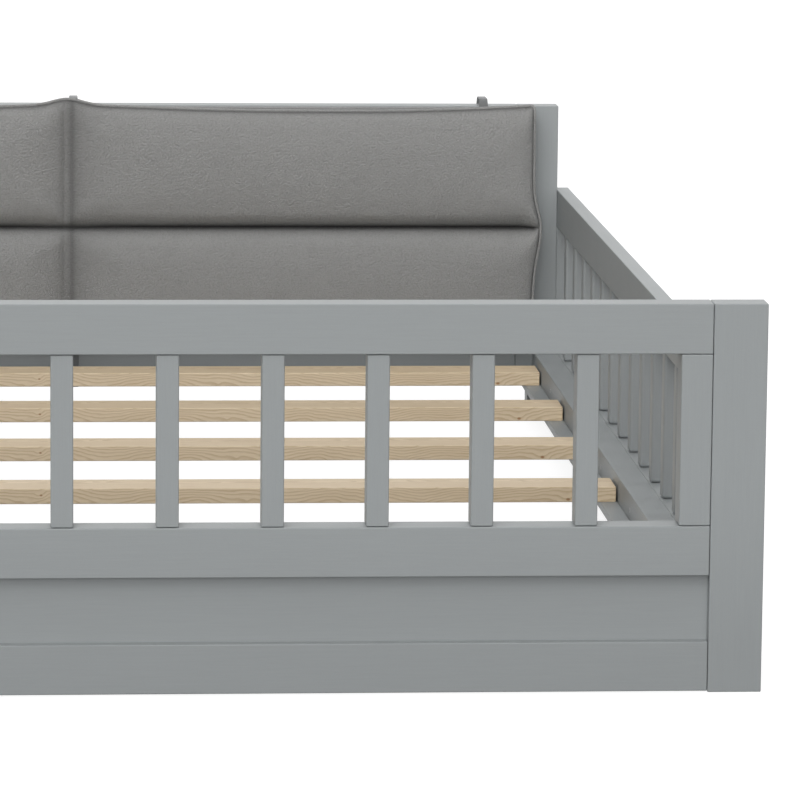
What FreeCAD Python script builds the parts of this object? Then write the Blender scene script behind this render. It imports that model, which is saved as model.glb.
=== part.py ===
import FreeCAD, Part
import os
import re
import Sketcher

# A low slatted bed with a railed foot end, side fences and a cushioned headboard.
# Millimetres. X runs across the bed, Y from foot to head and Z up from the floor.
# The origin is on the floor, in the middle of the bed's overall length and width.

# Driving sizes, kept in the document's spreadsheet.
SIZES = {
    "bed_width": 1500,
    "bed_length": 1980,
    "foot_height": 421.5,
    "head_height": 439.5,
    "end_thickness": 35,
    "post_width": 58,
    "rail_height": 54,
    "joint_gap": 0.5,
    "edge_radius": 1.2,
    "foot_floor_gap": 1.5,
    "foot_panel_height": 72,
    "foot_panel_recess": 13,
    "panel_thickness": 12,
    "panel_tongue": 8,
    "groove_play": 0.2,
    "foot_stile_width": 33.5,
    "foot_baluster_count": 11,
    "baluster_width": 24,
    "baluster_setback": 2,
    "tenon_length": 10,
    "tenon_margin": 4,
    "tenon_play": 0.2,
    "head_rail_bottom": 31,
    "head_leg_width": 40,
    "fence_thickness": 19.5,
    "fence_top": 317,
    "fence_floor_gap": 28,
    "fence_stile_width": 35,
    "fence_baluster_count": 16,
    "fence_baluster_edge": 3.5,
    "bed_rail_thickness": 33,
    "bed_rail_bottom": 10,
    "ledge_width": 22,
    "ledge_thickness": 10,
    "ledge_top": 50,
    "slat_width": 66,
    "slat_thickness": 19.3,
    "slat_end_gap": 2.5,
    "slat_count": 6,
    "slat_pitch": 313.3,
    "last_slat_to_headboard": 64,
    "cushion_width": 1362,
    "cushion_shift": 21,
    "cushion_bottom": 100,
    "cushion_top": 444,
    "cushion_thickness": 56,
    "cushion_corner": 14,
    "strap_width": 14,
    "strap_thickness": 1.7,
    "strap_gap": 0.3,
    "strap_rise": 8.8,
    "strap_spread": 600,
    "strap_shift": 9,
    "peg_diameter": 8,
    "peg_depth": 13,
    "stile_peg_inset": 13,
    "peg_margin": 14,
    "peg_groove_margin": 18,
    "cam_diameter": 15,
    "cam_depth": 12,
    "cam_setback": 34,
    "cam_axis_depth": 8,
    "cam_slot_width": 1.6,
    "cam_slot_length": 10,
    "cam_bolt_diameter": 6,
    "cam_bolt_in_post": 11,
    "bed_cam_height": 26,
    "bed_peg_height": 62,
    "screw_diameter": 4,
    "screw_head_diameter": 7,
    "screw_head_depth": 3,
    "screw_socket": 3.5,
    "fence_screw_length": 42,
    "fence_screw_height": 62,
    "ledge_screw_length": 33,
    "fence_bolt_diameter": 6,
    "fence_bolt_length": 56,
    "fence_bolt_head_diameter": 16,
    "fence_bolt_head_depth": 2.5,
    "fence_bolt_socket": 5,
    "socket_share": 0.6,
    "fence_bolt_upper": 296,
    "fence_bolt_lower": 46,
    "hole_play": 0.2,
}

# Planes and levels that follow from the driving sizes.
PLACES = {
    "half": "bed_width / 2",
    "front": "-(bed_length + strap_gap + strap_thickness) / 2",
    "back": "front + bed_length",
    "foot_back": "front + end_thickness",
    "head_front": "back - end_thickness",
    "post_in": "half - post_width",
    "fence_in": "half - fence_thickness",
    "rail_in": "fence_in - bed_rail_thickness",
    "ledge_in": "rail_in - ledge_width",
    "head_in": "fence_in - post_width",
    "stile_in": "post_in - joint_gap - foot_stile_width",
    "rail_side": "foot_back + joint_gap",
    "base_top": "foot_floor_gap + rail_height",
    "foot_low": "base_top + foot_panel_height",
    "foot_sill": "foot_low + rail_height",
    "foot_lintel": "foot_height - rail_height",
    "head_sill": "head_rail_bottom + rail_height",
    "head_lintel": "head_height - rail_height",
    "fence_sill": "fence_floor_gap + rail_height",
    "fence_lintel": "fence_top - rail_height",
    "foot_gap": "(2 * stile_in - foot_baluster_count * baluster_width) / (foot_baluster_count + 1)",
    "fence_run": "back - fence_stile_width - rail_side - fence_stile_width",
    "fence_gap": "(fence_run - fence_baluster_count * baluster_width) / (fence_baluster_count + 1)",
    "foot_pitch": "foot_gap + baluster_width",
    "fence_pitch": "fence_gap + baluster_width",
    "panel_front": "front + foot_panel_recess",
    "head_panel_front": "head_front + (end_thickness - panel_thickness) / 2",
    "slat_top": "ledge_top + slat_thickness",
    "cushion_back": "head_front - 2 * strap_gap - strap_thickness",
    "end_middle": "front + end_thickness / 2",
    "head_middle": "back - end_thickness / 2",
    "fence_middle": "half - fence_thickness / 2",
    "bed_rail_middle": "fence_in - bed_rail_thickness / 2",
}

# Each face of a board: its sketch plane, the board's axis that it is square to, whether
# it is at that axis's high end, and whether a cut into the board runs along the normal.
FACES = {
    "bottom": ("XY_Plane", 2, False, True),
    "top": ("XY_Plane", 2, True, False),
    "front": ("XZ_Plane", 1, False, False),
    "back": ("XZ_Plane", 1, True, True),
    "inner": ("YZ_Plane", 0, False, True),
    "outer": ("YZ_Plane", 0, True, False),
}
SKETCH_AXES = {"XY_Plane": (0, 1), "XZ_Plane": (0, 2), "YZ_Plane": (1, 2)}

doc = FreeCAD.newDocument("SlattedBed")
sheet = doc.addObject("Spreadsheet::Sheet", "Sizes")
for row, (alias, number) in enumerate(SIZES.items(), 1):
    sheet.set(f"A{row}", alias)
    sheet.set(f"B{row}", str(number))
    sheet.setAlias(f"B{row}", alias)
doc.recompute()

corners = {}
subparts = []


def bound(expression):
    """The expression with every place worked out and every size read from the sheet."""
    def word(match):
        name = match.group(0)
        if name in PLACES:
            return "(" + bound(PLACES[name]) + ")"
        return f"Sizes.{name}" if name in SIZES else name
    return re.sub(r"[a-z_]+", word, expression)


def value(expression):
    return float(sheet.evalExpression(bound(expression)))


def point(x, y, z):
    return FreeCAD.Vector(value(x), value(y), value(z))


def keep(piece, label):
    piece.Label = label
    subparts.append(piece)
    return piece


def sketch_on(body, face):
    """An empty sketch on one face of a board."""
    plane, axis, high, _ = FACES[face]
    sketch = body.newObject("Sketcher::SketchObject", "Sketch")
    planes = {feature.Role: feature for feature in body.Origin.OriginFeatures}
    sketch.AttachmentSupport = [(planes[plane], "")]
    sketch.MapMode = "FlatFace"
    if high:
        low_end, high_end = corners[body.Name][axis]
        sign = "-" if plane == "XZ_Plane" else ""
        sketch.setExpression("AttachmentOffset.Base.z", bound(f"{sign}(({high_end}) - ({low_end}))"))
    return sketch


def hold(sketch, kind, geometry, end, expression):
    index = sketch.addConstraint(Sketcher.Constraint(kind, -1, 1, geometry, end, 1.0))
    sketch.setExpression(f"Constraints[{index}]", bound(expression))


def rectangle(sketch, origin, low_u, low_v, high_u, high_v):
    """A rectangle given in the bed's own coordinates; origin is the board's low corner."""
    first = sketch.GeometryCount
    ends = [(0, 0), (10, 0), (10, 5), (0, 5)]
    for index in range(4):
        start = FreeCAD.Vector(*ends[index], 0)
        stop = FreeCAD.Vector(*ends[(index + 1) % 4], 0)
        sketch.addGeometry(Part.LineSegment(start, stop), False)
    for index in range(4):
        following = first + (index + 1) % 4
        sketch.addConstraint(Sketcher.Constraint("Coincident", first + index, 2, following, 1))
    for index in range(0, 4, 2):
        sketch.addConstraint(Sketcher.Constraint("Horizontal", first + index))
        sketch.addConstraint(Sketcher.Constraint("Vertical", first + index + 1))
    hold(sketch, "DistanceX", first, 1, f"({low_u}) - ({origin[0]})")
    hold(sketch, "DistanceY", first, 1, f"({low_v}) - ({origin[1]})")
    hold(sketch, "DistanceX", first + 2, 1, f"({high_u}) - ({origin[0]})")
    hold(sketch, "DistanceY", first + 2, 1, f"({high_v}) - ({origin[1]})")


def circle(sketch, origin, centre_u, centre_v, diameter):
    index = sketch.addGeometry(Part.Circle(FreeCAD.Vector(5, 5, 0), FreeCAD.Vector(0, 0, 1), 2), False)
    hold(sketch, "DistanceX", index, 3, f"({centre_u}) - ({origin[0]})")
    hold(sketch, "DistanceY", index, 3, f"({centre_v}) - ({origin[1]})")
    size = sketch.addConstraint(Sketcher.Constraint("Diameter", index, 4.0))
    sketch.setExpression(f"Constraints[{size}]", bound(diameter))


def outline(body, face, shapes):
    """A sketch of rectangles (four limits) and circles (centre and diameter)."""
    sketch = sketch_on(body, face)
    origin = [corners[body.Name][axis][0] for axis in SKETCH_AXES[FACES[face][0]]]
    for shape in shapes:
        draw = rectangle if len(shape) == 4 else circle
        draw(sketch, origin, *shape)
    return sketch


def changed(body, feature, before, grows):
    """Stops the build where a feature missed the solid."""
    doc.recompute()
    gain = feature.Shape.Volume - before
    if abs(gain) < 1 or (gain > 0) != grows:
        raise RuntimeError(f"{body.Label}: {feature.Name} changed the volume by {gain:.2f}")
    body.Tip = feature
    return feature


def cut(body, face, shapes, depth):
    before = body.Shape.Volume
    pocket = body.newObject("PartDesign::Pocket", "Pocket")
    pocket.Profile = (outline(body, face, shapes), [""])
    pocket.Reversed = FACES[face][3]
    pocket.setExpression("Length", bound(depth))
    return changed(body, pocket, before, False)


def grow(body, face, shapes, length):
    before = body.Shape.Volume
    pad = body.newObject("PartDesign::Pad", "Pad")
    pad.Profile = (outline(body, face, shapes), [""])
    pad.Reversed = FACES[face][3]
    pad.setExpression("Length", bound(length))
    return changed(body, pad, before, True)


def repeat(body, feature, axis, pitch, count):
    """Repeats a cut in a straight row along one axis of its sketch."""
    before = body.Shape.Volume
    row_of = body.newObject("PartDesign::LinearPattern", "Row")
    row_of.Originals = [feature]
    row_of.Direction = (feature.Profile[0], [axis])
    row_of.setExpression("Length", bound(f"({pitch}) * ({count} - 1)"))
    row_of.setExpression("Occurrences", bound(count))
    return changed(body, row_of, before, False)


def block(label, x, y, z, radius="edge_radius"):
    """A plain block with eased edges, from its low and high limits along each axis."""
    body = doc.addObject("PartDesign::Body", label)
    body.Label = label
    corners[body.Name] = (x, y, z)
    for axis, (low, _) in zip("xyz", (x, y, z)):
        body.setExpression(f"Placement.Base.{axis}", bound(low))
    pad = body.newObject("PartDesign::Pad", "Block")
    pad.Profile = (outline(body, "bottom", [(x[0], y[0], x[1], y[1])]), [""])
    pad.setExpression("Length", bound(f"({z[1]}) - ({z[0]})"))
    doc.recompute()
    eased = body.newObject("PartDesign::Fillet", "EasedEdges")
    eased.Base = (pad, [f"Edge{index + 1}" for index in range(len(pad.Shape.Edges))])
    eased.setExpression("Radius", bound(radius))
    body.Tip = eased
    doc.recompute()
    return body


def board(label, x, y, z):
    return keep(block(label, x, y, z), label)


def mirrored(piece, label):
    """The left-hand copy of a right-hand piece."""
    copy = doc.addObject("Part::Mirroring", label)
    copy.Source = piece
    copy.Normal = FreeCAD.Vector(1, 0, 0)
    return keep(copy, label)


def group(label, solids):
    """Identical small pieces kept together as separate solids."""
    feature = doc.addObject("Part::Feature", label)
    feature.Shape = Part.makeCompound(solids)
    return keep(feature, label)


def both_ways(expression):
    """A span that runs the same distance to each side of the bed's middle."""
    return (f"-({expression})", expression)


# Foot end: two posts, three rails, a recessed panel, two stiles and a row of balusters.

PEG_HOLE = "peg_diameter + hole_play"
PEG_HOLE_DEPTH = "peg_depth + hole_play"
BASE_PEGS = ("foot_floor_gap + peg_margin", "base_top - peg_groove_margin")
LOW_PEGS = ("foot_low + peg_groove_margin", "foot_sill - peg_margin")
TOP_PEGS = ("foot_lintel + peg_margin", "foot_height - peg_margin")
END_SPAN = ("front", "foot_back")


def peg_holes(body, face, spots):
    return cut(body, face, [(u, v, PEG_HOLE) for u, v in spots], PEG_HOLE_DEPTH)


def groove(body, face, low_u, low_v, high_u, high_v):
    return cut(body, face, [(low_u, low_v, high_u, high_v)], "panel_tongue + groove_play")


def foot_post():
    post = board("foot_post_right", ("post_in", "half"), END_SPAN, ("0", "foot_height"))
    spots = [("end_middle", height) for height in BASE_PEGS + LOW_PEGS + TOP_PEGS]
    peg_holes(post, "inner", spots)
    groove(post, "inner", "panel_front - groove_play", "base_top - panel_tongue - groove_play",
           "panel_front + panel_thickness + groove_play", "foot_low + panel_tongue + groove_play")
    peg_holes(post, "back", [("bed_rail_middle", "bed_peg_height")])
    cams = [("rail_in + cam_axis_depth", "bed_cam_height")]
    cams += [("fence_in + cam_axis_depth", height) for height in ("fence_bolt_lower", "fence_bolt_upper")]
    hole = "cam_bolt_diameter + hole_play"
    cut(post, "back", [(x, z, hole) for x, z in cams], "cam_bolt_in_post + hole_play")
    mirrored(post, "foot_post_left")


def foot_rail(label, low, high, peg_heights):
    rail = board(label, both_ways("post_in - joint_gap"), END_SPAN, (low, high))
    for face in ("inner", "outer"):
        peg_holes(rail, face, [("end_middle", height) for height in peg_heights])
    return rail


def baluster_row(rail, face, first, middle, axis, pitch, count, tenon):
    """A row of mortises along a rail, each a little larger than its tenon."""
    half_u, half_v = (f"({length}) / 2 + tenon_play" for length in tenon)
    mortise = (f"{first} - ({half_u})", f"{middle} - ({half_v})",
               f"{first} + ({half_u})", f"{middle} + ({half_v})")
    if axis == "V_Axis":
        mortise = (f"{middle} - ({half_v})", f"{first} - ({half_u})",
                   f"{middle} + ({half_v})", f"{first} + ({half_u})")
    single = cut(rail, face, [mortise], "tenon_length + 2 * tenon_play")
    repeat(rail, single, axis, pitch, count)


def baluster(label, x, y, z, radius="edge_radius"):
    """A straight baluster with a stub tenon at each end."""
    body = block(label, x, y, z, radius)
    limits = []
    for low, high in (x, y):
        limits.append((f"{low} + tenon_margin", f"{high} - tenon_margin"))
    (left, right), (near, far) = limits
    for face in ("top", "bottom"):
        grow(body, face, [(left, near, right, far)], "tenon_length")
    return body


def foot_end():
    foot_post()
    base = foot_rail("foot_base_rail", "foot_floor_gap", "base_top", BASE_PEGS)
    low = foot_rail("foot_bottom_rail", "foot_low", "foot_sill", LOW_PEGS)
    top = foot_rail("foot_top_rail", "foot_lintel", "foot_height", TOP_PEGS)
    groove_near = "panel_front - groove_play"
    groove_far = "panel_front + panel_thickness + groove_play"
    for rail, face in ((base, "top"), (low, "bottom")):
        groove(rail, face, "-half", groove_near, "half", groove_far)
    board("foot_recessed_panel", both_ways("post_in + panel_tongue"),
          ("panel_front", "panel_front + panel_thickness"),
          ("base_top - panel_tongue", "foot_low + panel_tongue"))
    upright = ("foot_sill + joint_gap", "foot_lintel - joint_gap")
    stile = board("foot_stile_right", ("stile_in", "post_in - joint_gap"), END_SPAN, upright)
    stile_peg = "stile_in + stile_peg_inset"
    for face in ("top", "bottom"):
        peg_holes(stile, face, [(stile_peg, "end_middle")])
    for rail, face in ((low, "top"), (top, "bottom")):
        peg_holes(rail, face, [(stile_peg, "end_middle"), (f"-({stile_peg})", "end_middle")])
    mirrored(stile, "foot_stile_left")
    tenon = ("baluster_width - 2 * tenon_margin",
             "end_thickness - 2 * baluster_setback - 2 * tenon_margin")
    first = "-stile_in + foot_gap + baluster_width / 2"
    for rail, face in ((low, "top"), (top, "bottom")):
        baluster_row(rail, face, first, "end_middle", "H_Axis", "foot_pitch", "foot_baluster_count", tenon)
    depth = ("front + baluster_setback", "foot_back - baluster_setback")
    for index in range(int(value("foot_baluster_count"))):
        left = f"-stile_in + foot_gap + {index} * foot_pitch"
        label = f"foot_baluster_{index + 1:02d}"
        keep(baluster(label, (left, f"{left} + baluster_width"), depth, upright), label)


# Headboard: two posts, two rails and a panel between them.

HEAD_SPAN = ("head_front", "back")
HEAD_LOW_PEGS = ("head_rail_bottom + peg_margin", "head_sill - peg_groove_margin")
HEAD_TOP_PEGS = ("head_lintel + peg_groove_margin", "head_height - peg_margin")


def headboard():
    post = board("head_post_right", ("head_in", "fence_in"), HEAD_SPAN, ("0", "head_height"))
    cut(post, "front", [("head_in", "0", "fence_in - head_leg_width", "head_rail_bottom")], "end_thickness")
    peg_holes(post, "inner", [("head_middle", height) for height in HEAD_LOW_PEGS + HEAD_TOP_PEGS])
    near = "head_panel_front - groove_play"
    far = "head_panel_front + panel_thickness + groove_play"
    groove(post, "inner", near, "head_sill - panel_tongue - groove_play",
           far, "head_lintel + panel_tongue + groove_play")
    peg_holes(post, "front", [("bed_rail_middle", "bed_peg_height")])
    cut(post, "front", [("rail_in + cam_axis_depth", "bed_cam_height", "cam_bolt_diameter + hole_play")],
        "cam_bolt_in_post + hole_play")
    heights = ("fence_bolt_lower", "fence_bolt_upper")
    cut(post, "outer", [("head_middle", height, "fence_bolt_diameter + hole_play") for height in heights],
        "fence_bolt_length - fence_thickness + hole_play")
    mirrored(post, "head_post_left")
    levels = (("head_lower_rail", "head_rail_bottom", "head_sill", HEAD_LOW_PEGS, "top"),
              ("head_top_rail", "head_lintel", "head_height", HEAD_TOP_PEGS, "bottom"))
    for label, low, high, pegs, grooved in levels:
        rail = board(label, both_ways("head_in - joint_gap"), HEAD_SPAN, (low, high))
        groove(rail, grooved, "-half", near, "half", far)
        for face in ("inner", "outer"):
            peg_holes(rail, face, [("head_middle", height) for height in pegs])
    board("head_panel", both_ways("head_in + panel_tongue"),
          ("head_panel_front", "head_panel_front + panel_thickness"),
          ("head_sill - panel_tongue", "head_lintel + panel_tongue"))


# Side fences: two rails and two stiles a side, with balusters between the rails.

FENCE_STILES = (("fence_foot_stile", "rail_side"), ("fence_head_stile", "back - fence_stile_width"))
SCREW_STATIONS = [f"head_front - last_slat_to_headboard - slat_width / 2 - ({index} + 0.5) * slat_pitch"
                  for index in range(SIZES["slat_count"] - 1)]


def screw_holes(rail, height, diameter, depth):
    """Round holes for the row of screws between the slats."""
    spots = [(y, height, f"{diameter} + hole_play") for y in SCREW_STATIONS]
    return cut(rail, "inner", spots, depth)


def fence():
    across = ("fence_in", "half")
    rails = {}
    for name, low, high, face in (("top", "fence_lintel", "fence_top", "bottom"),
                                  ("bottom", "fence_floor_gap", "fence_sill", "top")):
        label = f"fence_{name}_rail_right"
        rail = board(label, across, ("rail_side", "back"), (low, high))
        tenon = ("baluster_width - 2 * tenon_margin",
                 "fence_thickness - 2 * baluster_setback - 2 * tenon_margin")
        first = "rail_side + fence_stile_width + fence_gap + baluster_width / 2"
        baluster_row(rail, face, first, "fence_middle", "V_Axis", "fence_pitch",
                     "fence_baluster_count", tenon)
        peg_holes(rail, face, [("fence_middle", f"{start} + fence_stile_width / 2")
                               for _, start in FENCE_STILES])
        rails[name] = rail
    for name, height in (("top", "fence_bolt_upper"), ("bottom", "fence_bolt_lower")):
        rail = rails[name]
        cut(rail, "outer", [("head_middle", height, "fence_bolt_head_diameter + hole_play")],
            "fence_bolt_head_depth + hole_play")
        cut(rail, "outer", [("head_middle", height, "fence_bolt_diameter + hole_play")],
            "fence_thickness + joint_gap")
        cam_bores(rail, "fence_in", height, ["rail_side"])
    screw_holes(rails["bottom"], "fence_screw_height", "screw_diameter",
                "fence_screw_length - bed_rail_thickness + hole_play")
    for name in ("top", "bottom"):
        mirrored(rails[name], f"fence_{name}_rail_left")
    upright = ("fence_sill + joint_gap", "fence_lintel - joint_gap")
    for name, start in FENCE_STILES:
        stile = board(f"{name}_right", across, (start, f"{start} + fence_stile_width"), upright)
        for face in ("top", "bottom"):
            peg_holes(stile, face, [("fence_middle", f"{start} + fence_stile_width / 2")])
        mirrored(stile, f"{name}_left")
    first = "rail_side + fence_stile_width + fence_gap"
    pattern = baluster("fence_baluster", ("fence_in + baluster_setback", "half - baluster_setback"),
                       (first, f"{first} + baluster_width"), upright, "fence_baluster_edge")
    step = value("fence_pitch")
    solids = [pattern.Shape.translated(FreeCAD.Vector(0, index * step, 0))
              for index in range(int(value("fence_baluster_count")))]
    row_right = group("fence_balusters_right", solids)
    mirrored(row_right, "fence_balusters_left")


def cam_bores(rail, inner_face, height, ends):
    """Bores for a cam lock and its bolt at the foot (rail_side) or head end of a rail."""
    for end in ends:
        at_foot = end == "rail_side"
        sign = "+" if at_foot else "-"
        cut(rail, "inner", [(f"{end} {sign} cam_setback", height, "cam_diameter + hole_play")],
            "cam_depth + hole_play")
        cut(rail, "front" if at_foot else "back",
            [(f"{inner_face} + cam_axis_depth", height, "cam_bolt_diameter + hole_play")], "cam_setback")


# Bed rails with their slat ledges, and the loose slats.

def bed_sides():
    ends = ("rail_side", "head_front - joint_gap")
    rail = board("bed_rail_right", ("rail_in", "fence_in"), ends, ("bed_rail_bottom", "fence_sill"))
    cam_bores(rail, "rail_in", "bed_cam_height", ends)
    for face in ("front", "back"):
        peg_holes(rail, face, [("bed_rail_middle", "bed_peg_height")])
    middle = "ledge_top - ledge_thickness / 2"
    screw_holes(rail, "fence_screw_height", "screw_head_diameter", "screw_head_depth + hole_play")
    screw_holes(rail, "fence_screw_height", "screw_diameter", "bed_rail_thickness + joint_gap")
    screw_holes(rail, middle, "screw_diameter", "ledge_screw_length - ledge_width + hole_play")
    mirrored(rail, "bed_rail_left")
    ledge = board("slat_ledge_right", ("ledge_in", "rail_in"), ends,
                  ("ledge_top - ledge_thickness", "ledge_top"))
    screw_holes(ledge, middle, "screw_head_diameter", "screw_head_depth + hole_play")
    screw_holes(ledge, middle, "screw_diameter", "ledge_width + joint_gap")
    mirrored(ledge, "slat_ledge_left")


def slats():
    """Slat 1 lies nearest the headboard."""
    for index in range(int(value("slat_count"))):
        far = f"head_front - last_slat_to_headboard - {index} * slat_pitch"
        board(f"slat_{index + 1}", both_ways("rail_in - slat_end_gap"),
              (f"{far} - slat_width", far), ("ledge_top", "slat_top"))


# Soft parts: the headboard cushion and its strap loops.

def cushion():
    left = "cushion_shift - cushion_width / 2"
    body = block("headboard_cushion", (left, f"{left} + cushion_width"),
                 ("cushion_back - cushion_thickness", "cushion_back"),
                 ("cushion_bottom", "cushion_top"), "cushion_corner")
    keep(body, "headboard_cushion")


def strap(label, middle):
    """A flat loop of webbing round the headboard, standing a little above its top."""
    body = doc.addObject("PartDesign::Body", label)
    across = (f"{middle} - strap_width / 2", f"{middle} + strap_width / 2")
    along = ("head_front - strap_gap - strap_thickness", "back + strap_gap + strap_thickness")
    up = ("head_rail_bottom - strap_gap - strap_thickness", "head_height + strap_rise + strap_thickness")
    corners[body.Name] = (across, along, up)
    for axis, (low, _) in zip("xyz", (across, along, up)):
        body.setExpression(f"Placement.Base.{axis}", bound(low))
    outer = (along[0], up[0], along[1], up[1])
    hollow = tuple(f"{limit} {sign} strap_thickness" for limit, sign in zip(outer, "++--"))
    pad = body.newObject("PartDesign::Pad", "Loop")
    pad.Profile = (outline(body, "inner", [outer, hollow]), [""])
    pad.setExpression("Length", bound("strap_width"))
    body.Tip = pad
    keep(body, label)


def straps():
    strap("cushion_strap_left", "cushion_shift - strap_spread")
    strap("cushion_strap_centre", "cushion_shift + strap_shift")
    strap("cushion_strap_right", "cushion_shift + strap_spread")


# Hidden and small fasteners, in groups of separate solids.

ACROSS = FreeCAD.Vector(1, 0, 0)
ALONG = FreeCAD.Vector(0, 1, 0)
UPWARD = FreeCAD.Vector(0, 0, 1)


def rod(centre, axis, diameter, start, stop):
    """A cylinder on a line through centre, from start to stop along the axis."""
    return Part.makeCylinder(diameter / 2, stop - start, centre + axis * start, axis)


def on_both_sides(solids):
    plane = (FreeCAD.Vector(0, 0, 0), ACROSS)
    return solids + [solid.mirror(*plane) for solid in solids]


def wood_pegs():
    depth = value("peg_depth")
    diameter = value("peg_diameter")
    places = []
    for height in BASE_PEGS + LOW_PEGS + TOP_PEGS:
        places.append((point("post_in", "end_middle", height), ACROSS))
    for height in HEAD_LOW_PEGS + HEAD_TOP_PEGS:
        places.append((point("head_in", "head_middle", height), ACROSS))
    for y in ("foot_back", "head_front"):
        places.append((point("bed_rail_middle", y, "bed_peg_height"), ALONG))
    for z in ("foot_sill", "foot_lintel"):
        places.append((point("stile_in + stile_peg_inset", "end_middle", z), UPWARD))
    for _, start in FENCE_STILES:
        for z in ("fence_sill", "fence_lintel"):
            places.append((point("fence_middle", f"{start} + fence_stile_width / 2", z), UPWARD))
    pegs = [rod(centre, axis, diameter, -depth, depth) for centre, axis in places]
    group("wood_pegs", on_both_sides(pegs))


def cam_fittings():
    """Each cam lock is bored from its rim for the head of the bolt that it pulls."""
    joints = [("rail_in", "bed_cam_height", "foot_back", 1),
              ("rail_in", "bed_cam_height", "head_front", -1),
              ("fence_in", "fence_bolt_lower", "foot_back", 1),
              ("fence_in", "fence_bolt_upper", "foot_back", 1)]
    bolt = value("cam_bolt_diameter")
    play = value("hole_play")
    reach = value("joint_gap + cam_setback")
    depth = value("cam_depth")
    width = value("cam_slot_width")
    long = value("cam_slot_length")
    locks = []
    bolts = []
    for face, height, end, way in joints:
        axis = ALONG * way
        centre = point(f"{face} + cam_axis_depth", end, height)
        shank = rod(centre, axis, bolt, value("-cam_bolt_in_post"), reach)
        bolts.append(shank)
        body = rod(point(face, end, height) + axis * reach, ACROSS, value("cam_diameter"), 0, depth)
        bore = rod(centre, axis, bolt + play, 0, reach + play)
        slot = Part.makeBox(width, long, width, FreeCAD.Vector(-width, -long, -width) / 2)
        slot.translate(point(face, end, height) + axis * reach)
        locks.append(body.cut(bore).cut(slot))
    group("cam_locks", on_both_sides(locks))
    group("cam_bolts", on_both_sides(bolts))


def headed(kind, length, centre, axis):
    """A screw or bolt whose flat head starts at centre, with a round socket in it."""
    head_depth = value(f"{kind}_head_depth")
    shank = rod(centre, axis, value(f"{kind}_diameter"), head_depth / 2, value(length))
    cap = rod(centre, axis, value(f"{kind}_head_diameter"), 0, head_depth)
    socket = rod(centre, axis, value(f"{kind}_socket"), 0, head_depth * value("socket_share"))
    return shank.fuse(cap).cut(socket)


def screws():
    fence_screws = []
    ledge_screws = []
    for y in SCREW_STATIONS:
        start = point("rail_in", y, "fence_screw_height")
        fence_screws.append(headed("screw", "fence_screw_length", start, ACROSS))
        start = point("ledge_in", y, "ledge_top - ledge_thickness / 2")
        ledge_screws.append(headed("screw", "ledge_screw_length", start, ACROSS))
    group("fence_screws", on_both_sides(fence_screws))
    group("ledge_screws", on_both_sides(ledge_screws))
    bolts = [headed("fence_bolt", "fence_bolt_length", point("half", "head_middle", height), -ACROSS)
             for height in ("fence_bolt_lower", "fence_bolt_upper")]
    group("fence_bolts", on_both_sides(bolts))


def write_parts():
    doc.recompute()
    for item in doc.Objects:
        if "Invalid" in item.State or "Error" in item.State:
            raise RuntimeError(f"{item.Label} failed: {item.State}")
    os.makedirs("parts", exist_ok=True)
    for piece in subparts:
        if piece.Shape.isNull() or not piece.Shape.isValid():
            raise RuntimeError(f"{piece.Label} has no valid shape")
    for piece in subparts:
        piece.Shape.exportStep(os.path.join("parts", f"{piece.Label}.step"))
    print(len(subparts), "sub-parts written")


foot_end()
headboard()
fence()
bed_sides()
slats()
cushion()
straps()
wood_pegs()
cam_fittings()
screws()
write_parts()
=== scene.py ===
import math

import bmesh
import bpy
import numpy as np
from mathutils import Matrix, Vector


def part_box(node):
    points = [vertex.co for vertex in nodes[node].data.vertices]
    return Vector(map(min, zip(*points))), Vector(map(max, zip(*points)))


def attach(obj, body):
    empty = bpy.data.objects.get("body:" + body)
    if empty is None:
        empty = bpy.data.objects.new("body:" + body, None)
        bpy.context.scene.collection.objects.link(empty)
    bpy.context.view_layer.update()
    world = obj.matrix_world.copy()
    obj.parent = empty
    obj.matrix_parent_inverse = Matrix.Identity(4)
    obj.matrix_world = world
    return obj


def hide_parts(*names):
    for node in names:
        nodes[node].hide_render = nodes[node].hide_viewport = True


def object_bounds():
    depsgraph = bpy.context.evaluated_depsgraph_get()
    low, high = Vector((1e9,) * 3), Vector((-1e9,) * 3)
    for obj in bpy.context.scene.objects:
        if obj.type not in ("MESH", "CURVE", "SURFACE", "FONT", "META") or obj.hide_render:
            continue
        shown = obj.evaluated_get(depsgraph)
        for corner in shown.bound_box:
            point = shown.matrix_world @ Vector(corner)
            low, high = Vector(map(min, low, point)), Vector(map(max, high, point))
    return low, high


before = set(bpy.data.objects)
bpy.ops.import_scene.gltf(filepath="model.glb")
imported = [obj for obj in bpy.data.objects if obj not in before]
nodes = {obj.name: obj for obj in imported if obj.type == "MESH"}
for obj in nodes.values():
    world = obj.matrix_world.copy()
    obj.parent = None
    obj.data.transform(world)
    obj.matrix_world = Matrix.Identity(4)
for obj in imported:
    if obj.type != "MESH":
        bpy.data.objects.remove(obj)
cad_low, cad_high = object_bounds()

# A low slatted bed with a railed foot end, side fences and a quilted cushion on its headboard.
# Metres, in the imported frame: X across the bed, Y from foot to head, Z up from the floor.

FRAME_BODY = "bed_frame"


# Finishes

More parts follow.
